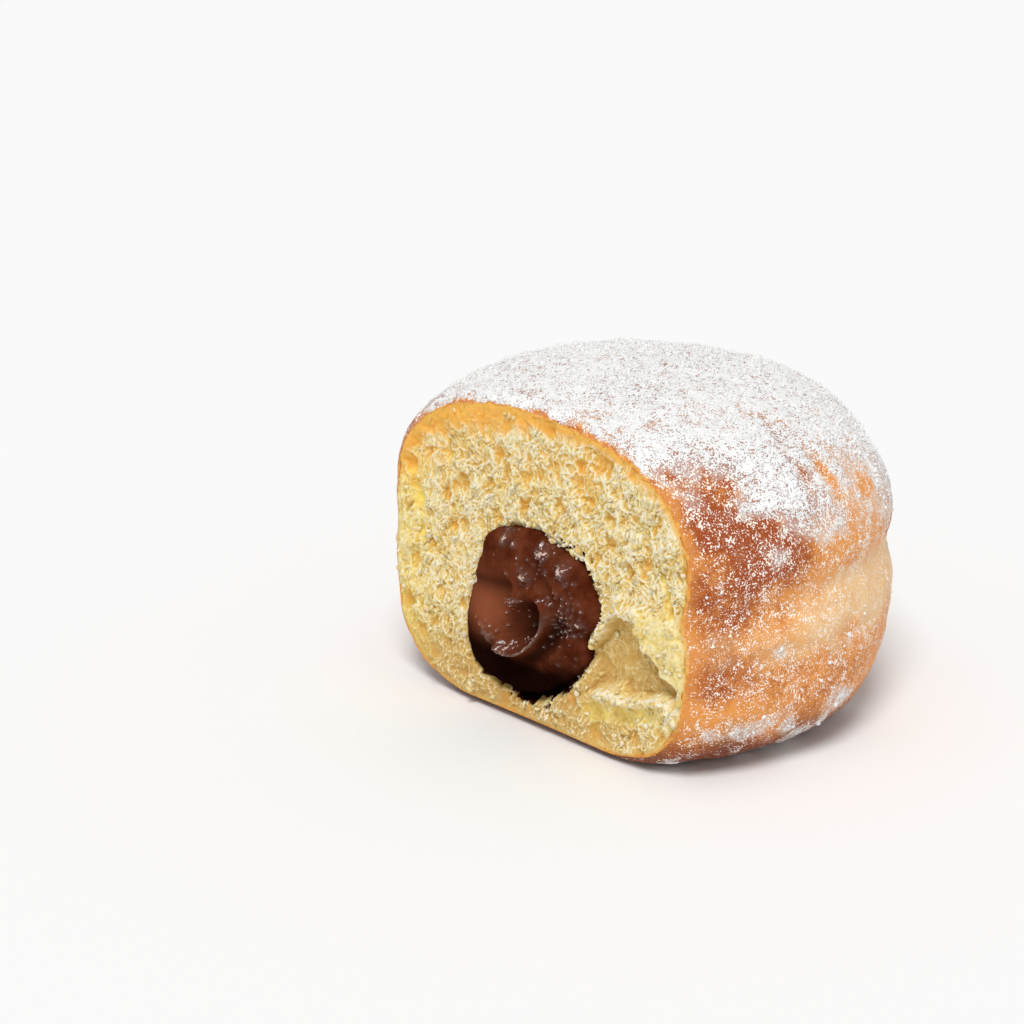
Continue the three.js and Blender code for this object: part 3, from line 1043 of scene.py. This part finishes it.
SHELF_LINE = (
    # x and z in mm along the shelf over the torn hollow
    (11, 17),
    (14.4, 19.7),
    (16.4, 22.6),
    (18.5, 24.2),
    (21.7, 24.9),
)
BAND_LINE = (
    # z and x in mm up the band between the hollow and the crust
    (12, 31.5),
    (16.1, 30.9),
    (17.1, 27.2),
    (19.3, 25.3),
    (21, 23.6),
    (22.8, 22.8),
    (24.9, 21.7),
)
LEDGE_LINE = (
    # x and z in mm along the torn ledge under the hollow
    (12, 9.2),
    (13.8, 9.7),
    (17.5, 11),
    (20.9, 11.2),
    (23.5, 12.1),
    (26.6, 12.8),
    (29.2, 12.2),
)
SLIT_ENDS = ((27.2, 32.6), (29.4, 27.4))  # x and z in mm of the slit by the crust
YELLOW_PITS = (
    # x, z and size in mm of the large pores at the left, which also get painted glow
    (-27.2, 31.4, 1.7),
    (-26.5, 26.0, 1.2),
    (-20, 40.5, 1.0),
    (-29, 36, 1.2),
)


class DOUGHNUT_OT_crumb(bpy.types.Operator):
    """Model the crumb on the cut: a fine slab with pores, tears and ledges, set into the crust"""

    bl_idname = "doughnut.crumb"
    bl_label = "Crumb"

    def execute(self, context):
        scene = context.scene
        dough, sizes, cream = scene.doughnut_dough, scene.doughnut_crumb, scene.doughnut_cream
        loop = np.array(bpy.data.objects["crust"]["recess"]).reshape(-1, 3) / mm
        wide, tall = 72 * mm, 56 * mm
        bpy.ops.object.select_all(action="DESELECT")
        bpy.ops.mesh.primitive_grid_add(
            x_subdivisions=round(wide / sizes.grain), y_subdivisions=round(tall / sizes.grain), size=1
        )
        crumb = context.object
        crumb.name = "crumb"
        across, up, _ = points_of(crumb).T
        level = np.full(across.shape, -dough.cut)
        place_points(crumb, np.stack([across * wide, level, (up + 0.5) * tall - mm], 1))
        edge, hole = self.margins(points_of(crumb), loop, cream)
        pick_points(crumb, (edge < -0.5) | (hole < -0.9))
        alone(crumb)
        bpy.ops.object.mode_set(mode="EDIT")
        bpy.ops.mesh.select_mode(type="VERT")
        bpy.ops.mesh.delete(type="VERT")
        bpy.ops.object.mode_set(mode="OBJECT")
        self.shape(crumb, loop, dough, sizes, cream)
        self.back(crumb, dough)
        crumb.data.materials.clear()
        crumb.data.materials.append(crumb_finish("airy crumb", scene.doughnut_colours, 0.7))
        finish_piece(crumb, "dough", "dough")
        return {"FINISHED"}

    def margins(self, points, loop, cream):
        """Distances in mm inside the recess's edge, and outside the hole for the cream."""
        x, z = points[:, 0] / mm, points[:, 2] / mm
        angles = np.arctan2(loop[:, 2] - FACE_MIDDLE, loop[:, 0])
        order = np.argsort(angles)
        reach = np.hypot(loop[:, 0], loop[:, 2] - FACE_MIDDLE)[order]
        turn = np.arctan2(z - FACE_MIDDLE, x)
        edge = np.interp(turn, angles[order], reach, period=2 * math.pi) - np.hypot(x, z - FACE_MIDDLE)
        from_x, from_z = x + cream.across / mm, z - cream.height / mm
        hole = hole_radius(np.arctan2(from_z, from_x), cream) / mm
        return edge, np.hypot(from_x, from_z) - hole

    def shape(self, crumb, loop, dough, sizes, cream):
        """Presses pores, tears and ledges into the slab's face, and marks what the colours need."""
        points = points_of(crumb)
        x, z = points[:, 0] / mm, points[:, 2] / mm
        edge, hole = self.margins(points, loop, cream)
        seed = sizes.seed
        broad, even, painted_glow = self.tears(x, z)
        loose = even * ease(edge, -0.5, 1.4) * (0.9 + 0.1 * ease(x, -12, 8))
        close = self.pores(x, z, seed) * (0.14 + 0.86 * loose)
        inside = ease(edge, 0.2, 2.2)
        height = close + (broad + 0.5 * layered_noise(seed + 70, 8, 2, x, z)) * inside
        rough = ease(layered_noise(seed + 90, 1.5, 3, x, z), -0.3, 0.5)
        turn = np.degrees(np.arctan2(z - cream.height / mm, x + cream.across / mm))
        below = bell(turn + 85, 50)
        upper = bell(turn - 56, 24)
        lip = 1 - ease(hole, -0.2, 0.8 + 1.6 * below * rough + 1.8 * upper * rough)
        height -= lip * (0.35 + 2.0 * below + 1.6 * upper * rough)
        near, number = cells(seed + 80, 1.1, x, z)
        # sunken pits by the cream's upper right, darkened by stain and painted shade
        soaked = upper * (1 - ease(hole, 0.8, 2.8)) * ease(0.5 - near, 0, 0.14) * (number > 0.3)
        height -= 1.5 * soaked
        height -= 0.8 * (1 - ease(edge, -0.5, -0.1))
        points[:, 0] += 0.2 * loose * soft_noise(seed + 100, 0.9, x, z) * mm
        points[:, 2] += 0.2 * loose * soft_noise(seed + 101, 0.9, x, z) * mm
        points[:, 1] = -dough.cut - sizes.proud - height * mm
        place_points(crumb, points)
        # relief paints light and shade: pale on high places and towards the right, deeper in pores,
        # creases, the torn hollow and low down
        low = np.maximum((1 - ease(z, 5, 17)) * (1 - ease(x, 8, 20)), 0.7 * (1 - ease(z, 5, 10)))
        relief = 0.5 + 0.4 * close + 0.08 * broad - 0.2 * low + 0.05 * ease(x, 14, 24)
        mark(crumb, "relief", relief - 1.3 * loose * hollows_of(crumb))
        mark(crumb, "painted_glow", painted_glow)
        # painted shade low down and in the torn hollow
        mark(crumb, "low_shade", 0.66 * low + 0.22 * np.maximum(-broad, 0))
        mark(crumb, "near_crust", self.near_crust(x, z, edge) - 0.6 * close)
        # cream stain round the hole, going near-black as painted shade in the gap under the cream
        soak_and_shade = 1 - ease(hole, -0.3, 0.2 + 2.6 * below * rough + 1.0 * upper * rough + 0.4 * rough)
        mark(crumb, "stain_and_shade", np.maximum(soak_and_shade * (0.3 + 0.7 * np.maximum(below, upper)), soaked))

    def pores(self, x, z, seed):
        """Heights in mm of the crumb's own texture: thin walls round pores of three sizes."""
        wx = x + 0.5 * soft_noise(seed, 3.2, x, z) + 0.3 * soft_noise(seed + 1, 1.1, x, z)
        wz = z + 0.5 * soft_noise(seed + 2, 3.2, x, z) + 0.3 * soft_noise(seed + 3, 1.1, x, z)
        height = 0.3 * layered_noise(seed + 50, 2.3, 3, wx, wz)
        for pitch, rise, offset in ((1.25, 0.5, 20), (0.62, 0.3, 30)):
            near, number = cells(seed + offset, pitch, wx, 0.85 * wz)
            height += rise * (near - 0.42) * (0.5 + number)
        near, number = cells(seed + 40, 3.6, wx, 0.8 * wz)
        size = 0.2 + 0.26 * number
        height -= 0.9 * number * np.clip(1 - (near / size) ** 2, 0, 1) * (number > 0.42)
        return height

    def tears(self, x, z):
        """The torn hollow at the right, with its shelf, band and ledge: heights, evenness, and painted
        glow.
        """
        wander = 0.7 * layered_noise(7, 2.6, 3, x, z)
        shelf = z + wander - np.interp(x, *zip(*SHELF_LINE))
        band = x + 0.6 * wander - np.interp(z, *zip(*BAND_LINE))
        ledge = z + wander - np.interp(x, *zip(*LEDGE_LINE))
        across = ease(x, 11, 14.5) * (1 - ease(x, 29, 31.5))
        hollow = ease(-shelf, 0, 1.0) * ease(-band, 0, 1.4) * ease(ledge, 0, 1.2) * ease(x, 10, 14)
        height = -2.3 * hollow
        height += 0.8 * bell(shelf - 0.9, 1.3) * ease(x, 12, 15) * (1 - ease(x, 21, 25))
        beside = ease(band, -0.4, 0.8) * ease(z, 11, 14) * (1 - ease(z, 24, 28))
        height += 0.5 * beside
        height += 1.2 * bell(ledge + 0.3, 0.8) * across
        under = bell(ledge + 2.9, 1.5) * ease(x, 8, 13) * (1 - ease(x, 25, 30))
        height -= 0.5 * under
        slit = bell(to_segment(x, z, *SLIT_ENDS) + 0.2 * soft_noise(9, 1.1, x, z), 0.7)
        height -= 1.2 * slit
        holes = np.zeros(x.shape)
        for cx, cz, size in YELLOW_PITS:
            holes += bell(np.hypot((x - cx) * 1.2, z - cz), size)
        height -= 1.1 * holes
        even = 1 - 0.5 * hollow - 0.5 * beside - 0.6 * under - 0.5 * slit - 0.7 * np.minimum(holes, 1)
        even -= 0.1 * (1 - ease(x, -30, -17))
        # painted glow of light through the crumb: under the ledge, in the slit and large pores, beside
        # the band and at the left
        painted_glow = 0.5 * under + 0.7 * slit + 0.75 * holes + 0.3 * beside + 0.25 * bell(x + 30, 5)
        return height, np.maximum(even, 0.15), painted_glow

    def near_crust(self, x, z, edge):
        """How orange the crumb is: in lumps next to the crust, more so on top, less low at the left."""
        wide = 0.8 + 4.6 * ease(z, 36, 48) * (1 - ease(x, -10, 12)) + 0.8 * ease(z, 30, 44)
        lumps = layered_noise(12, 3.6, 4, x, z)
        near = 1 - ease(edge + 1.1 * lumps * ease(edge, 0, 2), -0.4, wide)
        left = ease(-x, 18, 28) * (1 - ease(z, 33, 40))
        corner = (0.42 + 0.3 * lumps) * bell(np.hypot(x + 28, (z - 41) / 0.8), 10)
        band = 0.3 * ease(z, 34, 46) * (1 - ease(x, 8, 28))
        return near * (0.75 + 0.25 * ease(z, 10, 30)) * (1 - 0.75 * left) + np.maximum(corner, band)

    def back(self, crumb, dough):
        """Draws the slab's edges back and closes it."""
        alone(crumb)
        plane = -dough.cut + dough.recess - 0.1 * mm
        bpy.ops.object.mode_set(mode="EDIT")
        bpy.ops.mesh.select_mode(type="EDGE")
        bpy.ops.mesh.select_all(action="DESELECT")
        bpy.ops.mesh.select_non_manifold(extend=False, use_boundary=True, use_wire=False)
        bpy.ops.mesh.extrude_edges_move(TRANSFORM_OT_translate={"value": (0, mm, 0)})
        bpy.ops.transform.resize(value=(1, 0, 1), center_override=(0, plane, 0))
        bpy.ops.mesh.fill()
        close_edit()


class DOUGHNUT_OT_bits(bpy.types.Operator):
    """Scatter loose bits of torn crumb over the cut"""

    bl_idname = "doughnut.bits"
    bl_label = "Crumb bits"

    def execute(self, context):
        scene = context.scene
        sizes, dough = scene.doughnut_crumb, scene.doughnut_dough
        crumb = bpy.data.objects["crumb"]
        draw = np.random.default_rng(sizes.seed)
        points = points_of(crumb)
        front = normals_of(crumb)[:, 1] < -0.15
        near = marks_of(crumb, "near_crust")
        weights = (marks_of(crumb, "relief") - 0.25).clip(0, 1) ** 2 * (1 - 0.9 * ease(near, 0.1, 0.6))
        weights *= front * (points[:, 1] < -dough.cut + 2.6 * mm) * (1 - marks_of(crumb, "stain_and_shade"))
        piece = scattered_grains("crumb_bits", crumb, weights, sizes.bits, sizes.bit, draw, 20, 0.6)
        x, _, z = (points_of(piece) / mm).T
        # each bit gets a random tone between the crumb's shaded and lit copies
        tone = np.repeat(draw.uniform(0.35, 0.75, sizes.bits), len(x) // sizes.bits)
        mark(piece, "relief", tone)
        mark(piece, "near_crust", 0.42 * bell(np.hypot(x + 28, (z - 41) / 0.8), 10))
        for name in ("stain_and_shade", "painted_glow", "low_shade"):
            mark(piece, name, np.zeros(x.shape))
        piece.data.materials.append(crumb_finish("crumb bits", scene.doughnut_colours, 0.2))
        finish_piece(piece, "dough")
        return {"FINISHED"}


class DOUGHNUT_OT_cream(bpy.types.Operator):
    """Model the chocolate cream, with its piped curl, folds and bubbles"""

    bl_idname = "doughnut.cream"
    bl_label = "Chocolate cream"

    def execute(self, context):
        scene = context.scene
        sizes, dough = scene.doughnut_cream, scene.doughnut_dough
        cream = cream_body("chocolate_cream", sizes, dough.cut, 0.0, True)
        points, normals = points_of(cream), normals_of(cream)
        x, y, z = (points / mm).T
        face = ease(-normals[:, 1], 0.1, 0.6) * (y < -dough.cut / mm + 0.6)
        rise = 0.14 * layered_noise(sizes.seed, 3.0, 3, x, z) + 0.04 * soft_noise(9, 0.7, x, z)
        _, shade, gloss = curl(x, z)
        draw = np.random.default_rng(sizes.seed)
        middles = np.array(BUBBLE_PATCHES)[draw.integers(len(BUBBLE_PATCHES), size=sizes.bubbles)]
        bubbles = np.zeros(x.shape)
        for cx, cz, wide, tall in middles:
            away = np.hypot(x - draw.normal(cx, wide), z - draw.normal(cz, tall))
            spread = draw.uniform(0.13, 0.34)
            bubble = bell(away, spread)
            bubbles = np.maximum(bubbles, spread * draw.uniform(0.8, 1.5) * bubble)
            gloss = np.maximum(gloss, bubble)
        points[:, 1] -= (rise + bubbles) * face * mm
        place_points(cream, points)
        # Painted shade: darker low on the face away from the middle, in the curl's hollow, under its lip,
        # along the folds and behind the cut
        away = np.hypot((x + 0.8) * 0.85, z - 20) + 0.8 * layered_noise(sizes.seed + 9, 4, 3, x, z)
        low = ease(away, 6.0, 10.5) * (1 - ease(z, 10, 17))
        inner = y > -dough.cut / mm + 1
        mark(cream, "deep", np.maximum(0.95 * low, shade) + 0.6 * inner)
        mark(cream, "gloss", gloss * face * (1 - low))
        # painted light: the left lobe made paler as if lit
        mark(cream, "light", bell(np.hypot((x + 9) * 0.8, z - 18.5), 6))
        cream.data.materials.clear()
        cream.data.materials.append(cream_finish(scene.doughnut_colours))
        finish_piece(cream, "chocolate", "chocolate_filling")
        return {"FINISHED"}


class DOUGHNUT_OT_sugar(bpy.types.Operator):
    """Scatter clumps and single grains of icing sugar over the crust"""

    bl_idname = "doughnut.sugar"
    bl_label = "Icing sugar"

    def execute(self, context):
        scene = context.scene
        sizes, dough = scene.doughnut_sugar, scene.doughnut_dough
        crust = bpy.data.objects["crust"]
        draw = np.random.default_rng(sizes.seed)
        points = points_of(crust)
        outward = ((points - CORE) * normals_of(crust)).sum(1) > 0
        outside = outward & (points[:, 1] > -dough.cut + 0.3 * mm) & (points[:, 2] > 0.6 * mm)
        cover = marks_of(crust, "sugar") * outside
        drifts = ease(layered_noise(sizes.seed, 2.6, 3, *(points / mm).T), -0.35, 0.6)
        thick = (ease(cover, 0.35, 0.9) * drifts + 0.05 * cover) * ease(points[:, 2] / mm, 2, 6)
        clumps = scattered_grains("sugar_clumps", crust, thick, sizes.clumps, sizes.clump, draw, 20)
        thin = cover * (1.1 - ease(cover, 0.5, 0.95)) * (0.3 + drifts)
        grains = scattered_grains("sugar_grains", crust, thin, sizes.grains, sizes.grain, draw, 8)
        finish = sugar_finish(scene.doughnut_colours)
        for piece in (clumps, grains):
            piece.data.materials.append(finish)
            finish_piece(piece, "dough")
        return {"FINISHED"}


class DOUGHNUT_OT_stage(bpy.types.Operator):
    """Set up the camera, the floor and soft light"""

    bl_idname = "doughnut.stage"
    bl_label = "Stage"

    def execute(self, context):
        scene = context.scene
        stage = scene.doughnut_stage
        bpy.ops.object.select_all(action="DESELECT")
        bpy.ops.object.camera_add(
            location=stage.place, rotation=(math.pi / 2 - stage.elevation, 0, stage.azimuth)
        )
        camera = context.object
        camera.data.lens = stage.lens
        camera.data.clip_start = 0.01
        scene.camera = camera
        bpy.ops.mesh.primitive_plane_add(size=stage.floor, location=(0, 0, -0.2 * mm))
        floor = context.object
        floor.name = "floor"
        material, _, shader = new_finish("pale floor", Roughness=0.9, Specular_IOR_Level=0.1)
        shader.inputs["Base Color"].default_value = rgba(scene.doughnut_colours.floor)
        floor.data.materials.append(material)
        toward = -mathutils.Vector(stage.key_from)
        bpy.ops.object.light_add(
            type="SUN", location=stage.key_from, rotation=toward.to_track_quat("-Z", "Y").to_euler()
        )
        key = context.object
        key.name = "key"
        key.data.angle = stage.key_width
        key.data.energy = stage.key
        world = scene.world or bpy.data.worlds.new("World")
        scene.world = world
        world.use_nodes = True
        tree = world.node_tree
        back = tree.nodes["Background"]
        back.inputs["Color"].default_value = (1, 1, 1, 1)
        seen = add_node(tree, "ShaderNodeLightPath").outputs["Is Camera Ray"]
        tree.links.new(sum_of(tree, "MAXIMUM", seen, stage.fill), back.inputs["Strength"])
        scene.view_settings.view_transform = "Standard"
        return {"FINISHED"}


class DOUGHNUT_PT_panel(bpy.types.Panel):
    """Lists the steps that make the doughnut"""

    bl_idname = "DOUGHNUT_PT_panel"
    bl_label = "Filled Doughnut"
    bl_space_type = "VIEW_3D"
    bl_region_type = "UI"
    bl_category = "Doughnut"

    def draw(self, context):
        for step in STEPS:
            self.layout.operator(step.bl_idname)


SETTINGS = {
    "doughnut_dough": DoughSizes,
    "doughnut_crumb": CrumbSizes,
    "doughnut_cream": CreamSizes,
    "doughnut_sugar": SugarSizes,
    "doughnut_colours": DoughnutColours,
    "doughnut_stage": StageSizes,
}
STEPS = (
    DOUGHNUT_OT_stage,
    DOUGHNUT_OT_crust,
    DOUGHNUT_OT_crumb,
    DOUGHNUT_OT_bits,
    DOUGHNUT_OT_cream,
    DOUGHNUT_OT_sugar,
)


def register():
    """Registers the settings, the steps and the panel."""
    for name, kind in SETTINGS.items():
        bpy.utils.register_class(kind)
        setattr(bpy.types.Scene, name, PointerProperty(type=kind))
    for kind in (*STEPS, DOUGHNUT_PT_panel):
        bpy.utils.register_class(kind)


def unregister():
    """Takes them away again."""
    for kind in (DOUGHNUT_PT_panel, *reversed(STEPS)):
        bpy.utils.unregister_class(kind)
    for name, kind in SETTINGS.items():
        delattr(bpy.types.Scene, name)
        bpy.utils.unregister_class(kind)


def main():
    """Makes the doughnut step by step."""
    register()
    bpy.ops.doughnut.stage()
    bpy.ops.doughnut.crust()
    bpy.ops.doughnut.crumb()
    bpy.ops.doughnut.bits()
    bpy.ops.doughnut.cream()
    bpy.ops.doughnut.sugar()


if __name__ == "__main__":
    main()
